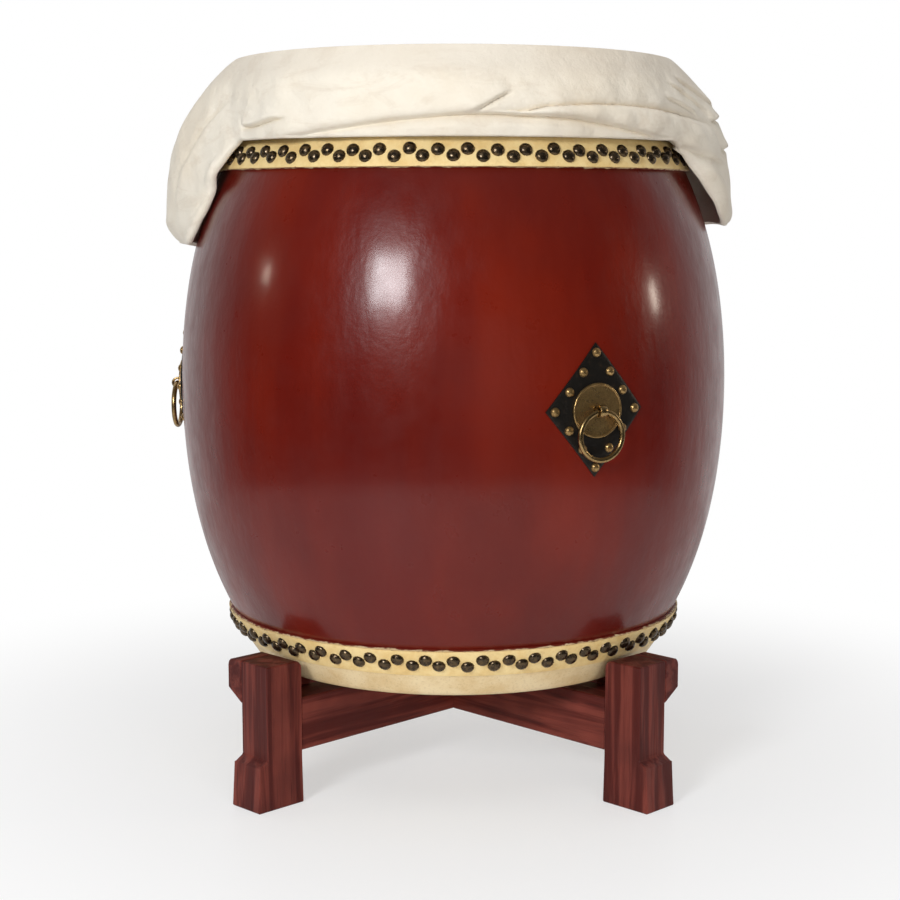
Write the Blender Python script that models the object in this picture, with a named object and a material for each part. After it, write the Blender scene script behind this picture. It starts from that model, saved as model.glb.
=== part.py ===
# A barrel drum (taiko) standing on end on a crossed wooden stand, under a soft cover.
# Lengths are in metres and +Z is up. The front is -Y, and an azimuth is measured from it
# towards +X. The origin is on the floor, under the drum's axis.
import math

import bmesh
import bpy
import numpy as np
from mathutils import Matrix, Vector

mm = 0.001
gap = 0.3 * mm  # between pieces that touch

# Drum body, carved from one trunk
drum_height = 599.6 * mm  # over both heads
belly_radius = 300 * mm
edge_radius = 213 * mm  # where the barrel's curve meets the plane of a head
bulge_sharpness = 0.3  # share of the curve that follows the fourth power
wall = 28 * mm
edge_round = 9 * mm  # the bearing edge under each head
edge_land = 9 * mm  # flat ring between the round and the inner bevel
body_sides = 52
flank_rings = 7  # between the skirts

# Heads, tack bands and tacks
skin = 3 * mm
top_skirt = 67 * mm  # from a head's plane to the edge of its skirt
bottom_skirt = 57 * mm
band_height = 28 * mm
band_thickness = 1.5 * mm
tack_rise = 4.6 * mm
fastener_sides = 6

# Ring handles, at 120 degrees
handle_azimuths = {"front": 27.5, "left": -92.5, "rear": 147.5}
plate_width = 109 * mm
plate_height = 131.5 * mm
plate_thickness = 2 * mm
plate_steps = 6
stud_radius = 4.8 * mm
stud_rise = 3.6 * mm
stud_root = 0.8 * mm
stud_inset = 9.5 * mm  # from the plate's corner, along its diagonal
studs_per_side = 3
boss_radius = 27 * mm
boss_thickness = 1.9 * mm
boss_bead = 1.2 * mm  # height of the bead round its rim
eye_width = 8 * mm
eye_hole_radius = 3.8 * mm
strap = 2.2 * mm  # thickness of the strap that the eye is rolled from
strap_slit = 0.6 * mm  # between the strap's two legs
eye_stand_off = 11 * mm  # from the shell to the hole's centre
leg_turn = 13 * mm  # length of each clenched leg
ring_radius = 23.75 * mm  # to the middle of the wire
ring_wire = 2.75 * mm
shank_clearance = 0.4 * mm
washer_radius = 11 * mm
washer_thickness = 1.5 * mm

# Stand: two crossed beams, four posts, and a rest block on the side of each post
ledge_height = 121.1 * mm  # what the drum sits on
ledge_reach = 195 * mm  # from the drum's axis to the ledge's inner end
post_inner = 243 * mm  # from the drum's axis to the post's inner face
post_depth = 47 * mm
post_width = 42 * mm
post_height = 151.4 * mm
post_round = 8 * mm
foot_height = 47 * mm
foot_reach = 13 * mm  # past the post's outer face, at the floor
foot_taper = 3 * mm
foot_flare = 1.5 * mm  # each side of the foot, at the floor
foot_slope = 6 * mm
beam_bottom = 55 * mm
beam_top = 111 * mm
beam_width = 40 * mm
tenon_length = 25 * mm
tenon_width = 16 * mm
tenon_shoulder = 10 * mm
joint_clearance = 0.3 * mm
wood_bevel = 1.2 * mm
block_width = 21.7 * mm
block_bottom = 106 * mm
block_bevel = 14 * mm
block_round = 7 * mm
dowel_radius = 5 * mm
dowel_length = 34 * mm
dowel_spacing = 20 * mm
dowel_height = 128 * mm

# Cover: a folded hide over a soft pad
cover_top = 775.5 * mm
cover_thickness = 7 * mm
cover_shoulder = 232 * mm  # radius where the top turns down
cover_columns = 52
cover_fall = 196 * mm  # over which the side's swell is drawn
front_swell = 27 * mm
left_swell = 81 * mm
right_swell = 75 * mm
rear_swell = 60 * mm
front_hem = 684 * mm
left_hem = 576 * mm
right_hem = 597 * mm
rear_hem = 588 * mm
fold_rise = 23 * mm  # of the long crease above the front hem
fold_depth = 9 * mm
cover_hug = 2.5 * mm  # least space between the cover and what it hangs over
hem_wave = 3 * mm
pad_radius = 222 * mm
pad_round = 16 * mm
pad_crown = 3 * mm

# Worked out from the sizes above
drum_bottom = ledge_height + gap
drum_top = drum_bottom + drum_height
belly_height = drum_bottom + drum_height / 2
post_outer = post_inner + post_depth
skirt_offset = gap + skin + gap
band_offset = skirt_offset + band_thickness
plate_face = gap + plate_thickness
boss_face = plate_face + gap + boss_thickness
eye_radius = eye_hole_radius + strap
shank_height = 2 * strap + strap_slit
shank_hole = math.hypot(eye_width / 2, shank_height / 2) + shank_clearance
inner_radius = belly_radius - wall
seat_half = leg_turn + 5 * mm  # half height of the level band inside, where the eyes are clenched
cover_under = cover_top - cover_thickness


def paint(name, colour, roughness, metallic=0.0, coat=0.0):
    material = bpy.data.materials.new(name)
    material.use_nodes = True
    shader = material.node_tree.nodes["Principled BSDF"]
    shader.inputs["Base Color"].default_value = (*colour, 1)
    shader.inputs["Roughness"].default_value = roughness
    shader.inputs["Metallic"].default_value = metallic
    shader.inputs["Coat Weight"].default_value = coat
    return material


def add_empty(name, location, turn, parent=None):
    empty = bpy.data.objects.new(name, None)
    empty.location = location
    empty.rotation_euler = (0, 0, turn)
    empty.parent = parent
    bpy.context.scene.collection.objects.link(empty)
    return empty


def add_object(name, bm, material=None, parent=None, location=(0, 0, 0), crease=35):
    bmesh.ops.recalc_face_normals(bm, faces=bm.faces)
    mesh = bpy.data.meshes.new(name)
    bm.to_mesh(mesh)
    bm.free()
    mesh.shade_smooth()
    mesh.set_sharp_from_angle(angle=math.radians(crease))
    if material:
        mesh.materials.append(material)
    return place_mesh(name, mesh, parent, location)


def place_mesh(name, mesh, parent=None, location=(0, 0, 0)):
    obj = bpy.data.objects.new(name, mesh)
    obj.parent = parent
    obj.location = location
    bpy.context.scene.collection.objects.link(obj)
    return obj


def make_tool(obj):
    obj.hide_render = True
    obj.display_type = "WIRE"
    return obj


def combine(obj, tool, operation):
    make_tool(tool)
    modifier = obj.modifiers.new(tool.name, "BOOLEAN")
    modifier.operation = operation
    modifier.object = tool
    modifier.solver = "EXACT"


def soften(obj, width):
    bevel = obj.modifiers.new("edges", "BEVEL")
    bevel.width = width
    bevel.segments = 1
    bevel.limit_method = "ANGLE"
    bevel.angle_limit = math.radians(40)


# Turns a profile of (radius, height) points, which lie along X and the axis.
def spin(outline, sides, axis=(0, 0, 1), closed=False):
    bm = bmesh.new()
    up = Vector(axis)
    verts = [bm.verts.new(Vector((r, 0, 0)) + up * h) for r, h in outline]
    pairs = list(zip(verts, verts[1:]))
    if closed:
        pairs.append((verts[-1], verts[0]))
    edges = [bm.edges.new(pair) for pair in pairs]
    bmesh.ops.spin(bm, geom=verts + edges, cent=(0, 0, 0), axis=up, angle=2 * math.pi,
                   steps=sides, use_merge=True)
    bmesh.ops.remove_doubles(bm, verts=bm.verts, dist=0.01 * mm)
    return bm


# Extrudes an outline of (outward, height) points from low to high along X.
def extrude(outline, low, high):
    bm = bmesh.new()
    face = bm.faces.new([bm.verts.new((low, -out, up)) for out, up in outline])
    grown = bmesh.ops.extrude_face_region(bm, geom=[face])
    moved = [v for v in grown["geom"] if isinstance(v, bmesh.types.BMVert)]
    bmesh.ops.translate(bm, verts=moved, vec=(high - low, 0, 0))
    return bm


def box(x, outward, z):
    return extrude([(outward[0], z[0]), (outward[1], z[0]), (outward[1], z[1]), (outward[0], z[1])], *x)


def cylinder(radius, length, sides, turn, centre):
    bm = bmesh.new()
    bmesh.ops.create_cone(bm, cap_ends=True, segments=sides, radius1=radius, radius2=radius,
                          depth=length, matrix=Matrix.Translation(centre) @ turn)
    return bm


# Adds the head of a tack or stud, whose rim starts a little inside what it is driven into.
def add_head(bm, matrix, radius, rise, root):
    loops = []
    for r, h in [(radius, -root), (0.72 * radius, rise)]:
        angles = [2 * math.pi * i / fastener_sides for i in range(fastener_sides)]
        loops.append([bm.verts.new(matrix @ Vector((r * math.cos(a), r * math.sin(a), h))) for a in angles])
    low, high = loops
    bm.faces.new(low[::-1])
    bm.faces.new(high)
    for i in range(fastener_sides):
        j = (i + 1) % fastener_sides
        bm.faces.new((low[i], low[j], high[j], high[i]))


def arc(centre, radius, start, end, steps):
    angles = [math.radians(start + (end - start) * i / steps) for i in range(steps + 1)]
    return [(centre[0] + radius * math.cos(a), centre[1] + radius * math.sin(a)) for a in angles]


def ramp(value, low, high):
    t = min(1, max(0, (value - low) / (high - low)))
    return t * t * (3 - 2 * t)


def barrel_radius(z):
    v = (z - belly_height) / (drum_height / 2)
    share = (1 - bulge_sharpness) * v**2 + bulge_sharpness * v**4
    return belly_radius - (belly_radius - edge_radius) * share


# The angle by which the barrel's surface leans up from level.
def barrel_tilt(z):
    step = 0.1 * mm
    return math.atan2(barrel_radius(z - step) - barrel_radius(z + step), 2 * step)


def barrel_point(z, offset):
    tilt = barrel_tilt(z)
    return barrel_radius(z) + offset * math.cos(tilt), z + offset * math.sin(tilt)


# The round at a bearing edge, moved out by offset. end is 1 at the top and -1 below.
def rim(end, offset, steps=2):
    wood_edge = (drum_top if end > 0 else drum_bottom) - end * (skin + gap)
    z = wood_edge
    for _ in range(20):
        z = wood_edge - end * edge_round * (1 - math.sin(abs(barrel_tilt(z))))
    tilt = math.degrees(barrel_tilt(z))
    r, height = barrel_point(z, -edge_round)
    return z, arc((r, height), edge_round + offset, tilt, end * 90, steps)


# Heights that the shell, head and band share, so that their corners nest.
def skirt_heights(end):
    edge = drum_top - top_skirt if end > 0 else drum_bottom + bottom_skirt
    return [edge, edge + end * band_height, rim(end, 0)[0]]


def flank(heights, offset):
    return [barrel_point(z, offset) for z in heights]


def steps_between(start, stop, steps):
    return [start + (stop - start) * i / steps for i in range(steps + 1)]


def make_shell(material):
    low, high = drum_bottom + skin + gap, drum_top - skin - gap
    top, bottom = skirt_heights(1), skirt_heights(-1)
    outline = flank(bottom[1:0:-1] + steps_between(bottom[0], top[0], flank_rings) + top[1:2], 0)
    top_round, bottom_round = rim(1, 0)[1], rim(-1, 0)[1]
    inner_edge = top_round[-1][0] - edge_land
    upper = steps_between(high - wall / 2, belly_height + seat_half, 2)
    inside = flank(upper + steps_between(belly_height - seat_half, low + wall / 2, 2), -wall)
    outline += top_round + [(inner_edge, high)] + inside + [(inner_edge, low)] + bottom_round[::-1]
    shell = add_object("shell", spin(outline, body_sides, closed=True), material)
    for name, azimuth in handle_azimuths.items():
        turn = Matrix.Rotation(math.radians(azimuth), 4, "Z") @ Matrix.Rotation(math.pi / 2, 4, "X")
        middle = Matrix.Rotation(math.radians(azimuth), 4, "Z") @ Vector((0, wall / 2 - belly_radius, 0))
        hole = cylinder(shank_hole, 3 * wall, 16, turn, middle + Vector((0, 0, belly_height)))
        combine(shell, add_object(f"shank_hole_{name}", hole), "DIFFERENCE")
    return shell


def make_head(name, end, material):
    plane = drum_top if end > 0 else drum_bottom
    edge, far, _ = skirt_heights(end)
    outline = [(0, plane)] + rim(end, gap + skin)[1][::-1] + flank([far, edge], gap + skin)
    outline += flank([edge, far], gap) + rim(end, gap)[1] + [(0, plane - end * skin)]
    return add_object(name, spin(outline, body_sides), material)


def make_tack_band(name, end, material):
    edge, far, _ = skirt_heights(end)
    outline = flank([edge, far], band_offset) + flank([far, edge], skirt_offset)
    band = add_object(name, spin(outline, body_sides, closed=True), material)
    return band


# Bends a flat piece onto the shell. X runs along it, Y up, and Z out of it.
def wrap(bm):
    for v in bm.verts:
        along, up, out = v.co
        radius = barrel_radius(belly_height + up) + out
        angle = along / belly_radius
        v.co = (radius * math.sin(angle), belly_radius - radius * math.cos(angle), up)


def make_plate_mesh():
    bm = bmesh.new()
    bmesh.ops.create_grid(bm, x_segments=plate_steps, y_segments=plate_steps, size=1)
    for v in bm.verts:
        p, q = v.co.x, v.co.y
        v.co = ((p - q) / 2 * plate_width / 2, (p + q) / 2 * plate_height / 2, gap)
    grown = bmesh.ops.extrude_face_region(bm, geom=list(bm.faces))
    moved = [v for v in grown["geom"] if isinstance(v, bmesh.types.BMVert)]
    bmesh.ops.translate(bm, verts=moved, vec=(0, 0, plate_thickness))
    wrap(bm)
    return bm


def make_studs():
    bm = bmesh.new()
    across, up = plate_width / 2 - stud_inset, plate_height / 2 - stud_inset
    corners = [(across, 0), (0, up), (-across, 0), (0, -up)]
    for (x0, y0), (x1, y1) in zip(corners, corners[1:] + corners[:1]):
        for i in range(studs_per_side):
            share = i / studs_per_side
            x, y = x0 + (x1 - x0) * share, y0 + (y1 - y0) * share
            place = Matrix.Translation((x, y, plate_face))
            add_head(bm, place, stud_radius, stud_rise, stud_root)
    wrap(bm)
    return bm


def make_boss():
    base = plate_face + gap
    outline = [(shank_hole, base), (boss_radius, base), (boss_radius, boss_face)]
    outline += [(boss_radius - boss_bead, boss_face + boss_bead)]
    outline += [(boss_radius - 2.5 * boss_bead, boss_face), (shank_hole, boss_face)]
    bm = spin(outline, 20, closed=True)
    wrap(bm)
    return bm


# From the shell's outside to the washer, which is flat and rests by its rim.
def washer_seat():
    crown = washer_radius**2 / (2 * inner_radius)
    sag = inner_radius * (1 - math.cos(math.pi / body_sides))
    drop = belly_radius - barrel_radius(belly_height + seat_half)
    return wall + crown + sag + drop + gap


# A strap rolled into an eye, whose two legs pass through the shell and are bent over.
def make_eye():
    slit, out = strap_slit / 2, strap_slit / 2 + strap
    face = -(washer_seat() + washer_thickness + gap)
    back = face - strap
    lean = math.degrees(math.asin(out / eye_radius))
    bend = strap / 2
    upper = [(eye_stand_off - eye_radius + strap, slit), (back + bend, slit), (back, slit + bend)]
    upper += [(back, leg_turn), (face, leg_turn), (face, out)]
    lower = [(n, -z) for n, z in upper[::-1]]
    roll = arc((eye_stand_off, 0), eye_radius, 180 - lean, lean - 180, 14)
    return extrude(upper + roll + lower, -eye_width / 2, eye_width / 2)


# Hangs in the eye, with the gap between its wire and the hole at the eye's two faces.
def make_ring():
    sag = ring_radius - math.sqrt(ring_radius**2 - (eye_width / 2) ** 2)
    drop = eye_hole_radius - ring_wire - gap - sag
    wire = arc((ring_radius, 0), ring_wire, 0, 315, 7)
    bm = spin(wire, 22, axis=(0, 1, 0), closed=True)
    bmesh.ops.translate(bm, verts=bm.verts, vec=(0, 0, -ring_radius - drop))
    return bm


def make_washer():
    low = washer_seat()
    outline = [(shank_hole, low), (washer_radius, low)]
    outline += [(washer_radius, low + washer_thickness), (shank_hole, low + washer_thickness)]
    return spin(outline, 12, axis=(0, 1, 0), closed=True)


def make_handles(paints):
    level = Matrix.Rotation(math.pi / 2, 4, "X")
    across = Matrix.Rotation(math.pi / 2, 4, "Y")
    for name, azimuth in handle_azimuths.items():
        turn = math.radians(azimuth)
        spot = (belly_radius * math.sin(turn), -belly_radius * math.cos(turn), belly_height)
        frame = add_empty(f"handle_frame_{name}", spot, turn)
        plate = add_object(f"handle_plate_{name}", make_plate_mesh(), paints["iron"], frame)
        studs = add_object(f"studs_{name}", make_studs(), paints["brass"], frame)
        combine(plate, studs, "UNION")
        hole = cylinder(shank_hole, 6 * plate_thickness, 16, level, (0, 0, 0))
        combine(plate, add_object(f"plate_hole_{name}", hole, parent=frame), "DIFFERENCE")
        add_object(f"handle_boss_{name}", make_boss(), paints["brass"], frame)
        eye = add_object(f"handle_eye_{name}", make_eye(), paints["iron"], frame)
        round_hole = eye_hole_radius / math.cos(math.pi / 16)
        bore = cylinder(round_hole, 2 * eye_width, 16, across, (0, -eye_stand_off, 0))
        combine(eye, add_object(f"eye_bore_{name}", bore, parent=frame), "DIFFERENCE")
        add_object(f"handle_washer_{name}", make_washer(), paints["iron"], frame)
        # The ring's origin is on the axis that it swings about.
        add_object(f"handle_ring_{name}", make_ring(), paints["brass"], frame, (0, -eye_stand_off, 0))


def make_post(name, frame, side, material):
    foot_out = post_outer + foot_reach
    foot_shoulder = foot_out - foot_taper
    corner = (post_inner + post_round, post_height - post_round)
    outline = [(post_inner, 0), (foot_out, 0), (foot_shoulder, foot_height)]
    outline += [(post_outer, foot_height + foot_slope), (post_outer, post_height)]
    outline += arc(corner, post_round, 90, 180, 4)
    bm = extrude(outline, -post_width / 2, post_width / 2)
    bmesh.ops.bisect_plane(bm, geom=bm.verts[:] + bm.edges[:] + bm.faces[:],
                           plane_co=(0, 0, foot_height), plane_no=(0, 0, 1))
    for v in bm.verts:
        if v.co.z < foot_height:
            v.co.x *= 1 + 2 * foot_flare / post_width * (1 - v.co.z / foot_height)
    post = add_object(name, bm, material, frame)
    soften(post, wood_bevel)
    play = joint_clearance
    mortise = box((-tenon_width / 2 - play, tenon_width / 2 + play),
                  (post_inner - tenon_length, post_inner + tenon_length + play),
                  (beam_bottom + tenon_shoulder - play, beam_top - tenon_shoulder + play))
    combine(post, add_object(f"{name}_mortise", mortise, parent=frame), "DIFFERENCE")
    combine(post, dowel_holes(f"{name}_dowel_holes", frame, side), "DIFFERENCE")
    return post


def dowel_places():
    middle = (post_inner + post_outer) / 2
    return [middle - dowel_spacing / 2, middle + dowel_spacing / 2]


def dowel_holes(name, frame, side):
    bm = bmesh.new()
    across = Matrix.Rotation(math.pi / 2, 4, "Y")
    for outward in dowel_places():
        centre = Matrix.Translation((side * post_width / 2, -outward, dowel_height))
        round_hole = (dowel_radius + joint_clearance) / math.cos(math.pi / 8)
        bmesh.ops.create_cone(bm, cap_ends=True, segments=8, radius1=round_hole, radius2=round_hole,
                              depth=dowel_length + 2 * gap, matrix=centre @ across)
    return add_object(name, bm, parent=frame)


# Reaches in under the drum's edge, and is cut away above for the drum.
def make_block(name, frame, side, material):
    near = post_width / 2 + gap
    far = near + block_width
    shape = [(near, block_bottom), (far, block_bottom + block_bevel)]
    shape += arc((far - block_round, post_height - block_round), block_round, 0, 90, 3)
    shape += [(near, post_height)]
    bm = extrude(shape, *sorted((-side * ledge_reach, -side * post_outer)))
    bmesh.ops.transform(bm, matrix=Matrix.Rotation(side * math.pi / 2, 4, "Z"), verts=bm.verts)
    block = add_object(name, bm, material, frame)
    soften(block, wood_bevel)
    past = 20 * mm
    corner = (post_inner + post_round, post_height - post_round)
    space = [(ledge_reach - past, ledge_height), (post_inner, ledge_height)]
    space += arc(corner, post_round, 180, 90, 4)
    space += [(corner[0], post_height + past), (ledge_reach - past, post_height + past)]
    notch = extrude(space, -far - past, far + past)
    combine(block, add_object(f"{name}_notch", notch, parent=frame), "DIFFERENCE")
    combine(block, dowel_holes(f"{name}_dowel_holes", frame, side), "DIFFERENCE")
    return block


def make_dowels(name, frame, side, material):
    across = Matrix.Rotation(math.pi / 2, 4, "Y")
    for number, outward in enumerate(dowel_places(), 1):
        bm = cylinder(dowel_radius, dowel_length, 8, across, (0, 0, 0))
        spot = (side * post_width / 2, -outward, dowel_height)
        add_object(f"dowel_{name}_{number}", bm, material, frame, spot)


# One of the two crossed beams. lap is 1 for the beam that keeps its upper half.
def make_beam(name, turn, lap, material):
    frame = add_empty(f"{name}_frame", (0, 0, 0), math.radians(turn))
    end = post_inner - gap
    beam = add_object(name, box((-beam_width / 2, beam_width / 2), (-end, end), (beam_bottom, beam_top)),
                      material, frame)
    soften(beam, wood_bevel)
    tenon_end = post_inner + tenon_length
    bar = box((-tenon_width / 2, tenon_width / 2), (-tenon_end, tenon_end),
              (beam_bottom + tenon_shoulder, beam_top - tenon_shoulder))
    combine(beam, add_object(f"{name}_tenons", bar, parent=frame), "UNION")
    half = beam_width / 2 + gap
    middle = (beam_bottom + beam_top) / 2
    past = 20 * mm
    heights = (beam_bottom - past, middle + gap / 2) if lap > 0 else (middle - gap / 2, beam_top + past)
    notch = box((-beam_width, beam_width), (-half, half), heights)
    combine(beam, add_object(f"{name}_lap", notch, parent=frame), "DIFFERENCE")
    return beam


def make_stand(material):
    make_beam("beam_upper", 45, 1, material)
    make_beam("beam_lower", -45, -1, material)
    corners = {"front_right": (45, 1), "front_left": (-45, -1), "rear_right": (135, -1), "rear_left": (-135, 1)}
    for name, (azimuth, side) in corners.items():
        frame = add_empty(f"post_frame_{name}", (0, 0, 0), math.radians(azimuth))
        make_post(f"post_{name}", frame, side, material)
        make_block(f"rest_block_{name}", frame, side, material)
        make_dowels(name, frame, side, material)


# Short at the front, and hanging low at the sides and the rear.
def cover_hem(azimuth):
    turn = abs(azimuth)
    if azimuth < 0:
        side = front_hem - (front_hem - left_hem) * ramp(turn, 57, 79)
    else:
        side = front_hem - (front_hem - right_hem) * ramp(turn, 58, 88)
    wave = hem_wave * (math.sin(math.radians(5 * azimuth) + 1) + math.sin(math.radians(11 * azimuth)))
    away = ramp(turn, 100, 135)
    return side + (rear_hem - side) * away + wave * ramp(turn, 70, 110)


def cover_swell(azimuth):
    turn = abs(azimuth)
    side = left_swell if azimuth < 0 else right_swell
    swell = front_swell + (side - front_swell) * ramp(turn, 57, 92)
    swell += (rear_swell - side) * ramp(turn, 105, 140)
    return swell + 1.5 * hem_wave * math.sin(math.radians(9 * azimuth)) * ramp(turn, 110, 140)


def cover_radius(azimuth, z):
    fall = max(0, (cover_top - z) / cover_fall)
    turn = 2 * fall**0.75
    tuck = 8 * mm * ramp(fall, 0.88, 1)
    free = cover_shoulder + cover_swell(azimuth) * math.sin(turn) - tuck
    skirt_edge = drum_top - top_skirt
    over_tacks = (band_offset + tack_rise) * ramp(z, skirt_edge - 25 * mm, skirt_edge)
    return max(free, barrel_radius(z) + cover_thickness + cover_hug + over_tacks)


# Height of the long crease above the hem, and how deep it is there.
def cover_crease(azimuth):
    depth = ramp(azimuth, -62, -35) * ramp(-azimuth, -78, -50)
    rise = 0.3 + 0.7 * math.exp(-(((azimuth - 4) / 30) ** 2))
    nominal = 1.5
    return fold_rise * (rise * depth + nominal * (1 - depth)), depth


# Points from the middle of the top, over the shoulder, down and round the hem, and back inside.
def cover_column(azimuth):
    hem = cover_hem(azimuth)
    rise, depth = cover_crease(azimuth)
    crease = hem + rise
    roll = fold_depth * depth
    points = [(0.5 * cover_shoulder, cover_top, 0), (0.9 * cover_shoulder, cover_top - 0.5 * mm, 0)]
    shoulder = cover_top - 2.5 * mm
    levels = [shoulder + (crease + 10 * mm - shoulder) * t for t in (0, 0.1, 0.3, 0.55, 0.8, 1)]
    outward = [0, 0, 0, 0, 0.4 * roll, 0.8 * roll]
    points += [(cover_radius(azimuth, z), z, out) for z, out in zip(levels, outward)]
    points.append((cover_radius(azimuth, crease), crease, -0.7 * roll))
    points.append((cover_radius(azimuth, crease), crease - 0.45 * rise, 0.35 * roll))
    points.append((cover_radius(azimuth, hem), hem + 2 * mm, 0))
    column = [(r + out, z) for r, z, out in points]
    inset = cover_thickness + 0.7 * roll
    column.append((cover_radius(azimuth, hem) - 0.5 * cover_thickness, hem - 1 * mm))
    for z in steps_between(hem + 2 * mm, cover_under - 20 * mm, 4):
        column.append((cover_radius(azimuth, z) - inset, z))
    column += [(cover_shoulder - cover_thickness, cover_under - 3 * mm), (0.8 * cover_shoulder, cover_under)]
    return column


def make_cover(material):
    bm = bmesh.new()
    columns = []
    for i in range(cover_columns):
        azimuth = -180 + 360 * i / cover_columns
        turn = math.radians(azimuth)
        columns.append([bm.verts.new((r * math.sin(turn), -r * math.cos(turn), z))
                        for r, z in cover_column(azimuth)])
    top = bm.verts.new((0, 0, cover_top))
    under = bm.verts.new((0, 0, cover_under))
    for here, there in zip(columns, columns[1:] + columns[:1]):
        bm.faces.new((here[0], there[0], top))
        bm.faces.new((there[-1], here[-1], under))
        for j in range(len(here) - 1):
            bm.faces.new((here[j], here[j + 1], there[j + 1], there[j]))
    return add_object("cover_hide", bm, material, crease=60)


def make_pad(material):
    low, high = drum_top + gap, cover_under - gap
    half = (high - low) / 2
    centre = (pad_radius - pad_round, low + half)
    side = [(r, centre[1] + (z - centre[1]) * half / pad_round)
            for r, z in arc(centre, pad_round, 90, -90, 6)]
    outline = [(0, high), (0.5 * pad_radius, high - 0.1 * pad_crown), (0.8 * pad_radius, high - 0.5 * pad_crown)]
    outline += [(r, min(z, high - pad_crown) if z > low + half else z) for r, z in side]
    outline += [(0, low)]
    return add_object("cover_pad", spin(outline, 26), material, crease=60)


def build():
    for obj in list(bpy.data.objects):
        bpy.data.objects.remove(obj, do_unlink=True)
    wood = paint("stained_wood", (0.13, 0.02, 0.013), 0.45)
    hide = paint("rawhide", (0.72, 0.56, 0.33), 0.55)
    paints = {"iron": paint("black_iron", (0.03, 0.027, 0.024), 0.5, 1.0),
              "brass": paint("aged_brass", (0.42, 0.27, 0.1), 0.38, 1.0)}
    make_shell(paint("red_lacquer", (0.17, 0.012, 0.01), 0.25, coat=0.6))
    make_head("top_head", 1, hide)
    make_head("bottom_head", -1, hide)
    band = paint("tack_band", (0.75, 0.5, 0.2), 0.4)
    make_tack_band("top_tack_band", 1, band)
    make_tack_band("bottom_tack_band", -1, band)
    make_handles(paints)
    make_stand(wood)
    make_cover(paint("cover_hide", (0.75, 0.66, 0.52), 0.85))
    make_pad(paint("felt", (0.6, 0.56, 0.48), 0.95))


build()
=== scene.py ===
# A barrel drum on its crossed stand, under a folded hide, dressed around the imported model.
# Lengths are in metres. An azimuth is measured from the front, which is -Y, towards +X.
import math

import bmesh
import bpy
import numpy as np
from mathutils import Matrix, Vector


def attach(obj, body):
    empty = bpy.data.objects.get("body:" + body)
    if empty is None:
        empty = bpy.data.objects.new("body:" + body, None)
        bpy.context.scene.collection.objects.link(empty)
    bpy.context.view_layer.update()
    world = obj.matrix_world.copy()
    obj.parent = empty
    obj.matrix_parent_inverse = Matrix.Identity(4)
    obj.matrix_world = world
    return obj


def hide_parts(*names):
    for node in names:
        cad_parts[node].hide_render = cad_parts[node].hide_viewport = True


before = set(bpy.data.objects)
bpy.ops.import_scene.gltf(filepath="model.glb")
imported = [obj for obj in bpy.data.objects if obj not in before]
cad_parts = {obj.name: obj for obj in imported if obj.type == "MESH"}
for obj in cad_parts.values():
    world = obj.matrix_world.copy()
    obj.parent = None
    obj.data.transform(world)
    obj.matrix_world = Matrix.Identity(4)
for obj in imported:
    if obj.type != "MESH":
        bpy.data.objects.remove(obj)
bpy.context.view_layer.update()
mm = 0.001
gap = 0.3 * mm  # between pieces that touch
steps = np.linspace  # evenly spaced values, with both ends

# The barrel: the part's own values, apart from the band's wear and the number of sides
barrel = {
    "low": 121.4 * mm,
    "high": 721.0 * mm,
    "belly": 300 * mm,
    "edge": 213 * mm,
    "sharpness": 0.3,
    "wall": 28 * mm,
    "round": 9 * mm,
    "land": 9 * mm,
    "skin": 3 * mm,
    "topSkirt": 67 * mm,
    "bottomSkirt": 57 * mm,
    "bandHeight": 28 * mm,
    "bandThickness": 1.5 * mm,
    "bandWear": 0.35 * mm,
    "sides": 288,
}
middle = (barrel["low"] + barrel["high"]) / 2
halfHeight = (barrel["high"] - barrel["low"]) / 2
skirtOffset = 2 * gap + barrel["skin"]
bandOffset = skirtOffset + barrel["bandThickness"]


# Smooth step: 0 below low, 1 above high, and 3t^2 - 2t^3 between
def ramp(value, low, high):
    t = np.clip((value - low) / (high - low), 0, 1)
    return t * t * (3 - 2 * t)


# A hump of height 1 at the middle that falls off as a bell over the width
def bell(value, centre, width):
    return np.exp(-(((value - centre) / width) ** 2))


# Radius at a height: the belly less a share of squares and fourth powers of the way to an end
def barrelRadius(z):
    v = (z - middle) / halfHeight
    share = (1 - barrel["sharpness"]) * v**2 + barrel["sharpness"] * v**4
    return barrel["belly"] - (barrel["belly"] - barrel["edge"]) * share


# The lean of the barrel's side, from the difference of two radii
def barrelTilt(z):
    step = 0.1 * mm  # each way
    return np.arctan2(barrelRadius(z - step) - barrelRadius(z + step), 2 * step)


# A point moved out from the barrel's side along its normal, as (radius, height)
def flank(heights, offset):
    heights = np.asarray(heights, float)
    tilt = barrelTilt(heights)
    return np.stack([barrelRadius(heights) + offset * np.cos(tilt), heights + offset * np.sin(tilt)], -1)


# Points on a circle from a start to an end angle, in degrees
def arc(centre, radius, start, end, parts):
    angles = np.radians(steps(start, end, parts + 1))
    return np.stack([centre[0] + radius * np.cos(angles), centre[1] + radius * np.sin(angles)], -1)


# The round at a bearing edge, at the top where end is 1 and at the bottom where it is -1. It meets the
# side at the height where both have the same tilt, which is found by closing in on it in rounds.
def bearingEdge(end, offset, parts=10, rounds=30):
    plane = barrel["high"] if end > 0 else barrel["low"]
    wood = plane - end * (barrel["skin"] + gap)
    z = wood
    for _ in range(rounds):
        z = wood - end * barrel["round"] * (1 - math.sin(abs(float(barrelTilt(z)))))
    centre = flank([z], -barrel["round"])[0]
    return z, arc(centre, barrel["round"] + offset, math.degrees(float(barrelTilt(z))), end * 90, parts)


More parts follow.
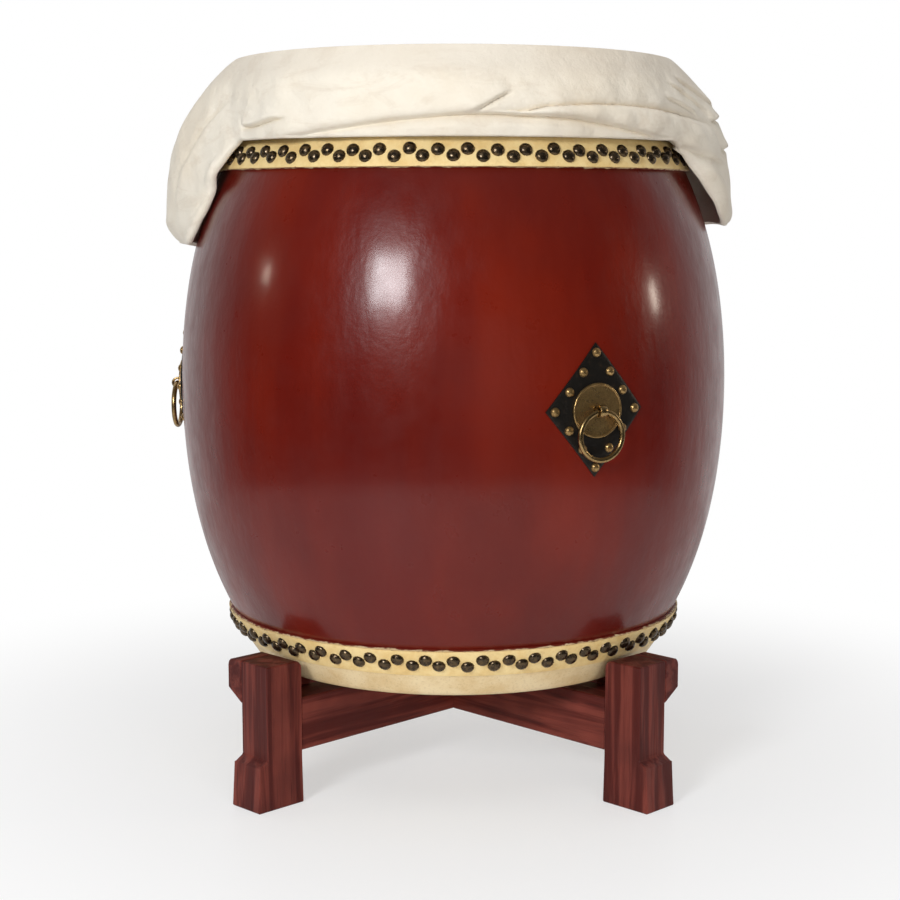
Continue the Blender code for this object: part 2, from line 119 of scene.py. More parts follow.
# Turns (radius, height) points round the axis: x = r sin a, y = -r cos a
def turned(profile, azimuths):
    profile = np.asarray(profile, float)
    a = azimuths[:, None]
    r, z = profile[None, :, 0], profile[None, :, 1]
    return np.stack([r * np.sin(a), -r * np.cos(a), z + 0 * a], -1)


# The four corners of each cell of a grid, with either side joined to itself
def cells(rows, columns, closeRows=False, closeColumns=False):
    i = np.arange(rows if closeRows else rows - 1)[:, None]
    j = np.arange(columns if closeColumns else columns - 1)[None, :]
    nextRow, nextColumn = (i + 1) % rows, (j + 1) % columns
    here, there = i * columns, nextRow * columns
    corners = (here + j, here + nextColumn, there + nextColumn, there + j)
    return np.stack(np.broadcast_arrays(*corners), -1).reshape(-1, 4)


# A piece from its points and faces: doubles are merged, faces turned outwards, and the CAD nodes that it
# stands for hidden. It is turned about the axis and moved in its mesh, so its object stays at the origin.
def makePiece(name, points, faces, material, body, slot, nodes=(), sharp=35, turn=0.0, at=(0, 0, 0)):
    mesh = bpy.data.meshes.new(name)
    mesh.from_pydata(np.asarray(points, float).reshape(-1, 3).tolist(), [], [list(f) for f in faces])
    bm = bmesh.new()
    bm.from_mesh(mesh)
    bmesh.ops.remove_doubles(bm, verts=bm.verts, dist=2e-6)
    bmesh.ops.dissolve_degenerate(bm, edges=bm.edges, dist=1e-7)
    bmesh.ops.recalc_face_normals(bm, faces=bm.faces)
    bm.to_mesh(mesh)
    bm.free()
    mesh.transform(Matrix.Translation(at) @ Matrix.Rotation(turn, 4, "Z"))
    mesh.shade_smooth()
    mesh.set_sharp_from_angle(angle=math.radians(sharp))
    mesh.materials.append(material)
    piece = bpy.data.objects.new(name, mesh)
    bpy.context.scene.collection.objects.link(piece)
    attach(piece, body)
    if nodes:
        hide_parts(*nodes)
    return piece


# Angles all the way round, without the last one, which is the first
def allRound(count):
    return steps(0, 2 * math.pi, count + 1)[:-1]


# A ring-shaped piece of the drum from a closed profile
def turnedPiece(name, profile, material, slot, node):
    points = turned(profile, allRound(barrel["sides"]))
    makePiece(name, points, cells(barrel["sides"], len(profile), True, True), material, "drum", slot, [node])


# Materials

class Wire:
    # A socket in a shader. Sums on it add Math nodes, and node() adds any other.
    def __init__(self, tree, socket=None):
        self.tree, self.socket = tree, socket

    def node(self, kind, settings=(), sockets=(), output=0):
        made = self.tree.nodes.new("ShaderNode" + kind)
        for name, value in dict(settings).items():
            setattr(made, name, value)
        for name, value in dict(sockets).items():
            if isinstance(value, Wire):
                self.tree.links.new(value.socket, made.inputs[name])
            else:
                made.inputs[name].default_value = value
        return Wire(self.tree, made.outputs[output])

    def maths(self, operation, *values):
        return self.node("Math", {"operation": operation}, enumerate(values))

    def __add__(self, other):
        return self.maths("ADD", self, other)

    __radd__ = __add__

    def __sub__(self, other):
        return self.maths("SUBTRACT", self, other)

    def __rsub__(self, other):
        return self.maths("SUBTRACT", other, self)

    def __mul__(self, other):
        return self.maths("MULTIPLY", self, other)

    __rmul__ = __mul__

    def step(self, low, high):
        return self.node("MapRange", {"interpolation_type": "SMOOTHSTEP"}, {0: self, 1: low, 2: high})

    def mix(self, first, second):
        settings = {"data_type": "RGBA"}
        first, second = [(*c, 1) if isinstance(c, tuple) else c for c in (first, second)]
        return self.node("Mix", settings, {0: self, 6: first, 7: second}, 2)

    # Noise of so many cells a metre, turned about the axis and then stretched, so that it can run aslant
    def noise(self, scale, detail=3, roughness=0.5, stretch=(1, 1, 1), turn=0.0, distortion=0.0):
        aslant = self.node("Mapping", {}, {"Vector": self, "Rotation": (0, 0, turn)}) if turn else self
        at = self.node("Mapping", {}, {"Vector": aslant, "Scale": stretch})
        look = {"Scale": scale, "Detail": detail, "Roughness": roughness, "Distortion": distortion}
        return self.node("TexNoise", {}, {"Vector": at, **look}, "Fac")

    def axis(self, index):
        return self.node("SeparateXYZ", {}, {0: self}, index)

    def bump(self, distance, below=None):
        sockets = {"Height": self, "Distance": distance, "Strength": 1.0}
        if below is not None:
            sockets["Normal"] = below
        return self.node("Bump", {}, sockets)


def startMaterial(name):
    material = bpy.data.materials.new(name)
    material.use_nodes = True
    return material, material.node_tree


# A material with its Principled shader: look takes the object's coordinates and gives numbers or wires
def makeMaterial(name, look):
    material, tree = startMaterial(name)
    shader = tree.nodes["Principled BSDF"]
    for socket, value in look(Wire(tree).node("TexCoord", {}, {}, "Object")).items():
        if isinstance(value, Wire):
            tree.links.new(value.socket, shader.inputs[socket])
        else:
            shader.inputs[socket].default_value = value
    return material


lacquerLook = {
    "deep": (0.115, 0.0060, 0.0030), "warm": (0.17, 0.0120, 0.0040), "dark": (0.070, 0.0050, 0.0035),
    "waves": 1.6 * mm, "peel": 0.22 * mm,
}


# Deep red with faint upright streaks, over slow waves and a fine peel in the gloss
def lacquer(at):
    streaks = at.noise(9, 4, 0.55, (1, 1, 0.12)).step(0.35, 0.7)
    clouds = at.noise(5, 3).step(0.35, 0.7)
    colour = streaks.mix(lacquerLook["deep"], lacquerLook["warm"])
    colour = (clouds * 0.5).mix(colour, lacquerLook["dark"])
    waves = at.noise(26, 3, 0.5, (1, 1, 0.5))
    peel = at.noise(230, 2, 0.6)
    grain = at.noise(120, 3, 0.6, (1, 1, 0.06))
    normal = waves.bump(lacquerLook["waves"])
    normal = (peel * 0.7 + grain * 0.6).bump(lacquerLook["peel"], below=normal)
    rough = at.noise(40, 3).step(0.2, 0.9) * 0.16 + 0.26
    return {
        "Base Color": colour, "Roughness": rough, "Normal": normal,
        "Coat Weight": 0.35, "Coat Roughness": 0.15, "Specular IOR Level": 0.2,
    }


rawhideLook = {
    "pale": (0.82, 0.66, 0.40), "deep": (0.68, 0.49, 0.24), "speck": (0.42, 0.27, 0.12),
    "bandPale": (0.88, 0.68, 0.33), "bandDeep": (0.76, 0.52, 0.20), "bandStain": (0.52, 0.33, 0.12),
    "red": (0.16, 0.018, 0.008), "ragged": 5 * mm, "bandRagged": 6 * mm,
}


# Skin stretched over an end: a ragged edge of lacquer runs along its skirt
def rawhide(edge, upward):
    def build(at):
        blotch = at.noise(22, 5, 0.65).step(0.35, 0.72)
        speckle = at.noise(420, 3, 0.7).step(0.52, 0.7)
        colour = blotch.mix(rawhideLook["pale"], rawhideLook["deep"])
        colour = (speckle * 0.35).mix(colour, rawhideLook["speck"])
        ragged = (at.axis(2) - edge) * upward + (at.noise(90, 3, 0.6) - 0.5) * rawhideLook["ragged"]
        colour = ragged.step(1.6 * mm, 0.6 * mm).mix(colour, rawhideLook["red"])
        normal = (at.noise(60, 4, 0.6) + at.noise(700, 2) * 0.12).bump(0.5 * mm)
        return {"Base Color": colour, "Roughness": 0.55, "Normal": normal, "Specular IOR Level": 0.4}
    return build


# The gilded band under the tacks: mottled yellow, with lacquer along the edge next to the body
def gilded(edge, upward):
    def build(at):
        blotch = at.noise(45, 5, 0.7).step(0.3, 0.75)
        stain = at.noise(130, 4, 0.7).step(0.5, 0.75)
        colour = blotch.mix(rawhideLook["bandPale"], rawhideLook["bandDeep"])
        colour = (stain * 0.3).mix(colour, rawhideLook["bandStain"])
        ragged = (at.axis(2) - edge) * upward + (at.noise(70, 4, 0.7) - 0.5) * rawhideLook["bandRagged"]
        colour = ragged.step(1.8 * mm, 0.8 * mm).mix(colour, rawhideLook["red"])
        normal = at.noise(160, 4, 0.6).bump(0.35 * mm)
        return {"Base Color": colour, "Roughness": 0.5, "Normal": normal}
    return build


metalLook = {
    "bronze": (0.075, 0.055, 0.036), "bronzeWorn": (0.17, 0.115, 0.06),
    "iron": (0.022, 0.019, 0.016), "rust": (0.075, 0.042, 0.022),
    "brass": (0.47, 0.30, 0.12), "tarnish": (0.20, 0.12, 0.045), "speck": (0.05, 0.03, 0.015),
    "ring": (0.42, 0.28, 0.12), "ringDull": (0.16, 0.10, 0.045),
}


# The tacks: dark bronze, a little lighter where it is worn
def agedBronze(at):
    wear = at.noise(240, 4, 0.6).step(0.4, 0.7)
    colour = wear.mix(metalLook["bronze"], metalLook["bronzeWorn"])
    rough = wear * 0.14 + 0.24
    return {"Base Color": colour, "Metallic": 0.9, "Roughness": rough, "Normal": wear.bump(0.08 * mm)}


# The plates: black iron with the marks of the hammer and some rust
def blackIron(at):
    blows = at.noise(95, 3, 0.5)
    rust = at.noise(150, 4, 0.7).step(0.55, 0.78)
    colour = (rust * 0.6).mix(metalLook["iron"], metalLook["rust"])
    normal = (blows + at.noise(600, 2) * 0.2).bump(0.9 * mm)
    return {"Base Color": colour, "Metallic": 0.65, "Roughness": rust * 0.25 + 0.38, "Normal": normal}


# The bosses and studs: brass with broad tarnish and dark specks
def agedBrass(at):
    tarnish = at.noise(110, 5, 0.7).step(0.42, 0.68)
    specks = at.noise(620, 3, 0.7).step(0.56, 0.68)
    colour = (tarnish * 0.7).mix(metalLook["brass"], metalLook["tarnish"])
    colour = (specks * 0.75).mix(colour, metalLook["speck"])
    rough = tarnish * 0.2 + specks * 0.2 + 0.27
    normal = (tarnish - specks * 0.4).bump(0.12 * mm)
    return {"Base Color": colour, "Metallic": 0.9, "Roughness": rough, "Normal": normal}


# The rings and eyes: plain brass, dull in places
def ringBrass(at):
    dull = at.noise(160, 4, 0.6).step(0.4, 0.75)
    colour = (dull * 0.6).mix(metalLook["ring"], metalLook["ringDull"])
    rough = dull * 0.16 + 0.26
    return {"Base Color": colour, "Metallic": 1.0, "Roughness": rough, "Normal": dull.bump(0.06 * mm)}


woodLook = {
    "dark": (0.075, 0.010, 0.007), "vein": (0.19, 0.040, 0.028), "patch": (0.050, 0.009, 0.008),
    "pore": (0.028, 0.006, 0.006), "stretch": 0.05, "aslant": math.radians(45),
}


# Stained wood whose noise is stretched along one axis, the grain, after a turn for what lies aslant
def stainedWood(axis, turn=0.0):
    stretch = [woodLook["stretch"] if i == axis else 1 for i in range(3)]

    def build(at):
        fibre = at.noise(170, 5, 0.65, stretch, turn)
        vein = at.noise(60, 4, 0.6, stretch, turn, 0.4).step(0.42, 0.62)
        patch = at.noise(14, 3).step(0.35, 0.75)
        colour = vein.mix(woodLook["dark"], woodLook["vein"])
        colour = (patch * 0.5).mix(colour, woodLook["patch"])
        colour = (fibre.step(0.56, 0.72) * 0.6).mix(colour, woodLook["pore"])
        rough = fibre * 0.2 + 0.40
        normal = (fibre + vein * 0.4).bump(0.55 * mm)
        return {"Base Color": colour, "Roughness": rough, "Normal": normal, "Specular IOR Level": 0.22}
    return build


softLook = {
    "ivory": (0.88, 0.81, 0.69), "tan": (0.74, 0.62, 0.46), "streak": (0.62, 0.50, 0.37),
    "worn": (0.70, 0.62, 0.52), "greyFrom": 735 * mm, "greyTo": 756 * mm, "greyRagged": 16 * mm,
    "feltDark": (0.50, 0.47, 0.42), "feltPale": (0.62, 0.59, 0.53),
}


# The cover: ivory hide with tan clouds and streaks, greyer above the shoulder, and a short nap
def coverHide(at):
    cloud = at.noise(7, 5, 0.6).step(0.38, 0.72)
    streak = at.noise(16, 5, 0.7, (1, 1, 2.6), 0.0, 0.8).step(0.48, 0.72)
    # Above about 735 to 756 mm, over the top and the upper shoulder, the hide is mixed towards a darker,
    # greyer colour along a ragged line
    height = at.axis(2) + (at.noise(20, 4) - 0.5) * softLook["greyRagged"]
    worn = height.step(softLook["greyFrom"], softLook["greyTo"])
    colour = (cloud * 0.45).mix(softLook["ivory"], softLook["tan"])
    colour = (streak * 0.35).mix(colour, softLook["streak"])
    colour = (worn * 0.4).mix(colour, softLook["worn"])
    nap = at.noise(900, 3, 0.7) * 0.25 + at.noise(130, 4, 0.65)
    normal = at.noise(28, 4, 0.6).bump(3 * mm)
    normal = nap.bump(0.7 * mm, below=normal)
    return {
        "Base Color": colour, "Roughness": 0.82, "Normal": normal,
        "Specular IOR Level": 0.25, "Sheen Weight": 0.15,
    }


# The pad's felt, in tufts
def felt(at):
    tufts = at.noise(260, 4, 0.7)
    colour = tufts.step(0.35, 0.7).mix(softLook["feltDark"], softLook["feltPale"])
    normal = tufts.bump(1 * mm)
    return {"Base Color": colour, "Roughness": 0.95, "Normal": normal, "Specular IOR Level": 0.2}


topEdge = barrel["high"] - barrel["topSkirt"]
bottomEdge = barrel["low"] + barrel["bottomSkirt"]
paints = {
    "lacquer": makeMaterial("red_lacquer_gloss", lacquer),
    "topHide": makeMaterial("rawhide_top", rawhide(topEdge, 1)),
    "bottomHide": makeMaterial("rawhide_bottom", rawhide(bottomEdge, -1)),
    "topBand": makeMaterial("gilded_band_top", gilded(topEdge, 1)),
    "bottomBand": makeMaterial("gilded_band_bottom", gilded(bottomEdge, -1)),
    "bronze": makeMaterial("aged_bronze", agedBronze),
    "iron": makeMaterial("black_iron_plate", blackIron),
    "brass": makeMaterial("aged_brass_speckled", agedBrass),
    "ring": makeMaterial("ring_brass", ringBrass),
    "upright": makeMaterial("stained_wood_upright", stainedWood(2)),
    "diagonal": makeMaterial("stained_wood_diagonal", stainedWood(0, woodLook["aslant"])),
    "counter": makeMaterial("stained_wood_counter", stainedWood(1, woodLook["aslant"])),
    "hide": makeMaterial("cover_hide_nap", coverHide),
    "felt": makeMaterial("pad_felt", felt),
}
print("materials ready:", len(paints))

# Drum body, heads and bands

# The shell: its side, the round at each end, the flat land inside that, and the wall of the hollow
def makeShell():
    low, high = barrel["low"] + barrel["skin"] + gap, barrel["high"] - barrel["skin"] - gap
    topRim, topRound = bearingEdge(1, 0)
    bottomRim, bottomRound = bearingEdge(-1, 0)
    side = flank(steps(bottomRim, topRim, 110)[:-1], 0)
    hollow = flank(steps(high - barrel["wall"] / 2, low + barrel["wall"] / 2, 16), -barrel["wall"])
    lip = topRound[-1][0] - barrel["land"]
    profile = [side, topRound, [(lip, high)], hollow, [(lip, low)], bottomRound[::-1][:-1]]
    turnedPiece("drum_shell", np.concatenate(profile), paints["lacquer"], "red_lacquer", "shell")


# A head: skin drawn over the end, its round and its skirt, as one closed profile
def makeHead(name, end, material, node):
    plane = barrel["high"] if end > 0 else barrel["low"]
    edge = topEdge if end > 0 else bottomEdge
    skin = barrel["skin"]
    rim, outer = bearingEdge(end, gap + skin)
    inner = bearingEdge(end, gap)[1]
    across = steps(2 * mm, outer[-1][0], 30)[:-1]
    back = across[::-3]
    flat = np.stack([across, plane + 0 * across], -1)
    under = np.stack([back, plane - end * skin + 0 * back], -1)
    side = steps(rim, edge, 16)[1:]
    skirt = [flank(side, gap + skin), flank(side[::-1], gap)]
    profile = np.concatenate([flat, outer[::-1], *skirt, inner, under])
    profile[[0, -1], 0] = 0
    points = turned(profile, allRound(barrel["sides"]))
    makePiece(name, points, cells(barrel["sides"], len(profile), True), material, "drum", "rawhide", [node])


# A band over the skirt's edge: it follows the barrel, and its two edges are worn down
def makeBand(name, end, material, node):
    edge = topEdge if end > 0 else bottomEdge
    heights = steps(edge, edge + end * barrel["bandHeight"], 12)
    offsets = np.full(len(heights), bandOffset)
    offsets[[0, -1]] -= barrel["bandWear"]
    profile = np.concatenate([flank(heights, offsets), flank(heights[::-1], skirtOffset)])
    turnedPiece(name, profile, material, "tack_band", node)


# Heights of the two rows are from the band's edge. Each tack strays a little: drift is a share of the
# step round the drum, lean and roll are angles in radians.
tacks = {
    "radius": 7 * mm, "rise": 4.6 * mm, "root": 0.9 * mm, "sides": 12,
    "perRow": 55, "rows": (9.6 * mm, 15.9 * mm),
    "drift": 0.025, "stray": 0.35 * mm, "lean": 0.04, "roll": 6,
}


# Domed heads at places given by a point, an outward normal, an upward tangent and a turn about the normal.
# A dome is a quarter circle turned round and squeezed to its rise: a ring at each lift, of which the first
# is sunk to the root, and a tip.
def domes(places, radius, rise, root, sides):
    lift = np.radians([0, 0, 28, 55, 76])
    r, h = radius * np.cos(lift), rise * np.sin(lift)
    h[0] = -root
    count = len(lift)
    points, faces, start = [], [], 0
    for centre, normal, up, turn in places:
        a = allRound(sides) + turn
        ring = np.cos(a)[:, None] * np.cross(up, normal) + np.sin(a)[:, None] * up
        dome = centre + r[None, :, None] * ring[:, None, :] + h[None, :, None] * normal
        points += [dome.reshape(-1, 3), (centre + rise * normal)[None]]
        feet = [start + i * count for i in range(sides)]
        tip = start + sides * count
        faces += (cells(sides, count, True) + start).tolist()
        rim = [foot + count - 1 for foot in feet]
        faces += [[here, there, tip] for here, there in zip(rim, rim[1:] + rim[:1])]
        faces.append(feet[::-1])
        start = tip + 1
    return np.concatenate(points), faces


# Tacks in two staggered rows on a band, square to the barrel's side apart from their own lean
def makeTacks(name, end, seed):
    edge = topEdge if end > 0 else bottomEdge
    rng = np.random.default_rng(seed)
    places = []
    for row, rise in enumerate(tacks["rows"]):
        for i in range(tacks["perRow"]):
            a = 2 * math.pi * (i + 0.5 * row + rng.normal(0, tacks["drift"])) / tacks["perRow"]
            z = edge + end * (rise + rng.normal(0, tacks["stray"]))
            r, height = flank([z], bandOffset)[0]
            tilt = float(barrelTilt(z)) + rng.normal(0, tacks["lean"])
            out, upright = np.array([math.sin(a), -math.cos(a), 0]), np.array([0, 0, 1])
            normal = out * math.cos(tilt) + upright * math.sin(tilt)
            up = upright * math.cos(tilt) - out * math.sin(tilt)
            places.append((r * out + height * upright, normal, up, rng.uniform(0, tacks["roll"])))
    points, faces = domes(places, tacks["radius"], tacks["rise"], tacks["root"], tacks["sides"])
    makePiece(name, points, faces, paints["bronze"], "drum", "black_iron", sharp=60)


makeShell()
makeHead("head_top", 1, paints["topHide"], "top_head")
makeHead("head_bottom", -1, paints["bottomHide"], "bottom_head")
makeBand("band_top", 1, paints["topBand"], "top_tack_band")
makeBand("band_bottom", -1, paints["bottomBand"], "bottom_tack_band")
makeTacks("tacks_top", 1, 11)
makeTacks("tacks_bottom", -1, 12)
print("drum body ready")

# Ring handles. The clench is the way from the hollow's wall to the bent legs, past the washer.

handle = {
    "azimuths": {"front": 27.5, "left": -92.5, "rear": 147.5},
    "plateWidth": 109 * mm, "plateHeight": 131.5 * mm, "plateThickness": 2 * mm, "plateWear": 0.5 * mm,
    "stud": 4.8 * mm, "studRise": 3.6 * mm, "studRoot": 0.8 * mm, "studInset": 9.5 * mm,
    "studsPerSide": 3, "studTurn": 0.3, "studSides": 20,
    "boss": 27 * mm, "bossThickness": 1.9 * mm, "bossHole": 5 * mm, "bossRound": 0.3 * mm,
    "bossGroove": 0.2 * mm, "bead": 1.2 * mm,
    "eyeWidth": 8 * mm, "eyeHole": 3.8 * mm, "strap": 2.2 * mm, "strapRound": 0.35 * mm,
    "slit": 0.6 * mm, "standOff": 11 * mm, "clench": 3.6 * mm, "leg": 13 * mm,
    "ring": 23.75 * mm, "wire": 2.75 * mm, "sides": 96, "wireSides": 20,
}
plateFace = gap + handle["plateThickness"]
bossFace = plateFace + gap + handle["bossThickness"]


# Bends a flat piece onto the barrel: x runs along it, y up, and z out of it
def wrapped(points):
    points = np.asarray(points, float)
    radius = barrelRadius(middle + points[..., 1]) + points[..., 2]
    angle = points[..., 0] / barrel["belly"]
    return np.stack([radius * np.sin(angle), barrel["belly"] - radius * np.cos(angle), points[..., 1]], -1)


# The plate: a diamond on a grid, p and q from -1 to 1 along its edges, whose rim is rounded down by the wear
def platePoints():
    u = np.concatenate([[-1, -0.975], steps(-0.94, 0.94, 21), [0.975, 1]])
    p, q = np.meshgrid(u, u, indexing="ij")
    x, y = (p - q) / 2 * handle["plateWidth"] / 2, (p + q) / 2 * handle["plateHeight"] / 2
    face = plateFace - handle["plateWear"] * ramp(np.maximum(abs(p), abs(q)), 0.95, 1.0)
    top, under = np.stack([x, y, face], -1), np.stack([x, y, np.full_like(x, gap)], -1)
    n = len(u)
    faces = cells(n, n).tolist() + (cells(n, n)[:, ::-1] + n * n).tolist()
    loop = [i * n for i in range(n)] + [(n - 1) * n + j for j in range(1, n)]
    loop += [i * n + n - 1 for i in range(n - 2, -1, -1)] + list(range(n - 2, 0, -1))
    faces += [[a, b, b + n * n, a + n * n] for a, b in zip(loop, loop[1:] + loop[:1])]
    return wrapped(np.concatenate([top.reshape(-1, 3), under.reshape(-1, 3)])), faces


# The studs: in equal steps from each corner of a diamond inside the plate's edge towards the next corner
def studPoints():
    count, inset = handle["studsPerSide"], handle["studInset"]
    across, up = handle["plateWidth"] / 2 - inset, handle["plateHeight"] / 2 - inset
    corners = np.array([(across, 0), (0, up), (-across, 0), (0, -up)])
    outward, upward = np.array([0, 0, 1.0]), np.array([0, 1.0, 0])
    places = []
    for here, there in zip(corners, np.roll(corners, -1, 0)):
        for i in range(count):
            x, y = here + (there - here) * i / count
            places.append((np.array([x, y, plateFace]), outward, upward, i * handle["studTurn"]))
    size = handle["stud"], handle["studRise"], handle["studRoot"], handle["studSides"]
    points, faces = domes(places, *size)
    return wrapped(points), faces


# The boss: a flat disc with a bead round its rim and a shallow groove inside that, bent onto the plate
def bossPoints():
    base, r, b = plateFace + gap, handle["boss"], handle["bead"]
    hole, worn = handle["bossHole"], handle["bossRound"]
    foot = [(hole, base), (r - worn, base), (r, base + worn)]
    face = [(r - 3 * b, bossFace - handle["bossGroove"]), (0.6 * r, bossFace), (hole, bossFace)]
    profile = np.concatenate([foot, arc((r - b, bossFace), b, 0, 180, 8), face])
    around = allRound(handle["sides"])[:, None]
    x, y = profile[None, :, 0] * np.cos(around), profile[None, :, 0] * np.sin(around)
    points = np.stack([x, y, profile[None, :, 1] + 0 * around], -1)
    return wrapped(points), cells(handle["sides"], len(profile), True, True)


# The eye's middle line as (outward, up): in from the hole's circle beside the slit, through the wall, and
# bent up along the washer. The lower leg mirrors it. The circle is left open by the lean, the arcsine
# of the leg's level over the circle's radius.
def strapPath():
    s, out = handle["strap"], handle["standOff"]
    level, roll = handle["slit"] / 2 + s / 2, handle["eyeHole"] + s / 2
    inside = -barrel["wall"] - handle["clench"]
    lean = math.degrees(math.asin(level / roll))
    circle = arc((out, 0), roll, 180 - lean, lean - 180, 36)
    shank = steps((out - roll, level), (inside + s, level), 8)[1:]
    bend = arc((inside + s / 2, level + s), s, 270, 180, 6)
    upper = np.concatenate([shank, bend, [(inside - s / 2, handle["leg"])]])
    return np.concatenate([(upper * (1, -1))[::-1], circle[::-1], upper])


# The eye: a flat strap with slightly rounded edges, carried square to its path
def strapPoints():
    path = strapPath()
    along = np.gradient(path, axis=0)
    along /= np.linalg.norm(along, axis=1)[:, None]
    normal = np.stack([-along[:, 1], along[:, 0]], -1)
    w, t, e = handle["eyeWidth"] / 2, handle["strap"] / 2, handle["strapRound"]
    half = np.array([(-w + e, -t), (w - e, -t), (w, -t + e), (w, t - e)])
    section = np.concatenate([half, -half])
    corners = path[:, None, :] + normal[:, None, :] * section[None, :, 1:2]
    x = np.broadcast_to(section[None, :, 0], corners.shape[:2])
    points = np.stack([x, -corners[..., 0], corners[..., 1]], -1)
    rows, columns = x.shape
    faces = cells(rows, columns, False, True).tolist()
    faces += [list(range(columns)), list(range((rows - 1) * columns, rows * columns))[::-1]]
    return points, faces


# The ring: a round wire on a circle of radius R. At the eye's two sides it is lower by the sag,
# R - sqrt(R^2 - (width / 2)^2), and there it clears the hole by the gap.
def ringPoints():
    radius, w = handle["ring"], handle["wire"]
    sag = radius - math.sqrt(radius**2 - (handle["eyeWidth"] / 2) ** 2)
    drop = handle["eyeHole"] - w - gap - sag
    a, b = allRound(handle["sides"])[:, None], allRound(handle["wireSides"])[None, :]
    reach = radius + w * np.cos(b)
    y = -handle["standOff"] + w * np.sin(b) + 0 * a
    points = np.stack([reach * np.sin(a), y, reach * np.cos(a) - radius - drop], -1)
    return points, cells(handle["sides"], handle["wireSides"], True, True)


# One handle's pieces, each moved to the belly at the handle's azimuth
def makeHandle(side, azimuth):
    turn = math.radians(azimuth)
    spot = (barrel["belly"] * math.sin(turn), -barrel["belly"] * math.cos(turn), middle)
    pieces = (
        ("plate", platePoints(), "iron", "drum", "black_iron", 50),
        ("studs", studPoints(), "brass", "drum", "aged_brass", 60),
        ("boss", bossPoints(), "brass", "drum", "aged_brass", 50),
        ("eye", strapPoints(), "ring", "drum", "black_iron", 50),
        ("ring", ringPoints(), "ring", f"ring_{side}", "aged_brass", 60),
    )
    for name, form, paint, body, slot, sharp in pieces:
        nodes = [] if name == "studs" else [f"handle_{name}_{side}"]
        makePiece(f"{name}_{side}", *form, paints[paint], body, slot, nodes, sharp, turn, spot)


for side, azimuth in handle["azimuths"].items():
    makeHandle(side, azimuth)
print("handles ready")

# Stand and washers: the CAD's own pieces, with the grain along each of them. A node takes the paint of the
# first name here that its own name starts with.
grain = {
    "post": "upright", "beam_upper": "diagonal", "beam_lower": "counter", "dowel": "counter",
    "rest_block_front_right": "diagonal", "rest_block_rear_left": "diagonal", "rest_block": "counter",
    "handle_washer": "iron",
}
for name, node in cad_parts.items():
    paint = next((paint for start, paint in grain.items() if name.startswith(start)), None)
    if paint:
        node.data.materials.clear()
        node.data.materials.append(paints[paint])
print("stand ready")

# Cover. Its azimuths are in degrees, and a turn is the pair of azimuths, to either side of the front,
# between which one form passes into the next. Slant and upright are a line's start and slope. They, the
# blend, reliefs and folds are in millimetres.

cover = {
    "top": 775.5 * mm, "thickness": 7 * mm, "shoulder": 232 * mm, "fall": 196 * mm, "hug": 2.5 * mm,
    "tuck": 8 * mm, "reach": 290 * mm, "alongDegree": 4.4,
    "slant": (1.2, 0.62), "upright": (18.6, 0.10), "blend": 3.0, "boxTurn": (40, 74),
    "topDrop": 0.8 * mm, "crown": 0.6 * mm, "roundDown": 1.2 * mm, "ripple": 0.5 * mm,
    "sideDrop": 2.8 * mm, "hemLift": 2.5 * mm, "crowding": 1.15, "clearance": 1 * mm,
    "columns": 480, "rows": 120,
}
hemForm = {
    "front": 684 * mm, "left": 576 * mm, "right": 597 * mm, "rear": 588 * mm, "wave": 3 * mm,
    "leftTurn": (57, 79), "rightTurn": (58, 88), "rearTurn": (100, 135), "waveTurn": (70, 110),
    "roll": 6.5, "rollWidth": 11, "rollTurn": (54, 66),
}
swellForm = {
    "front": 27 * mm, "left": 81 * mm, "right": 75 * mm, "rear": 60 * mm, "wave": 4.5 * mm,
    "sideTurn": (57, 92), "rearTurn": (105, 140), "waveTurn": (110, 140),
}
# The long crease's line and the top of the roll above it are azimuths and heights. A pair such as single is
# a roll's height and width, and groove is a depth, a place above the line and a width.
creaseForm = {
    "line": (
        [-52, -46, -38, -26, -16, -8, 2, 12, 27, 36, 48, 56, 64, 80],
        [680, 682, 685, 692, 698, 701.5, 705, 705, 703, 698, 690, 685, 678, 664],
    ),
    "rollTop": ([4, 12, 16, 21, 33, 45, 58, 68, 76, 90], [705, 706, 708, 713, 716, 716, 713, 709, 705, 696]),
    "fat": 9.0, "single": (7.0, 30), "past": (5.0, 26), "rollTurn": (6, 20),
    "under": -3.5, "bulge": 3.2, "bulgeWidth": 7.0, "step": (-0.8, 1.2), "groove": (2.5, -0.6, 1.8),
    "start": (-53, -40), "end": (66, 86),
}
# Small folds: a line, how far the hide rolls out above it, how far it is tucked in, and the width
folds = [
    ([(-57, 712), (-55.5, 697), (-52, 697), (-47, 700), (-43, 703), (-38, 704)], 5, 4.5, 9),
    ([(3, 704), (6, 711), (9, 719), (13, 728)], 4, 3.5, 9),
    ([(56, 728), (64, 722), (72, 712)], 3, 1.6, 8),
    ([(60, 745), (70, 733), (80, 716)], 3, 1.4, 8),
    ([(66, 752), (77, 738), (88, 722)], 3, 1.4, 9),
    ([(78, 706), (88, 712), (98, 709)], 5, 3.5, 10),
    ([(80, 676), (90, 681), (100, 678)], 4, 3, 11),
    ([(-66, 730), (-74, 700), (-80, 660), (-84, 615)], 3, 1.8, 16),
    ([(108, 735), (114, 690), (119, 640), (121, 600)], 6, 4, 17),
    ([(138, 740), (143, 700), (146, 640), (150, 600)], 4, 3, 16),
    ([(163, 732), (168, 680), (172, 610)], 6, 4, 18),
    ([(-112, 740), (-118, 690), (-123, 640), (-126, 600)], 6, 4, 17),
    ([(-150, 730), (-156, 670), (-160, 600)], 5, 3, 16),
    ([(-178, 736), (-182, 690), (-184, 640)], 4, 2.5, 14),
]
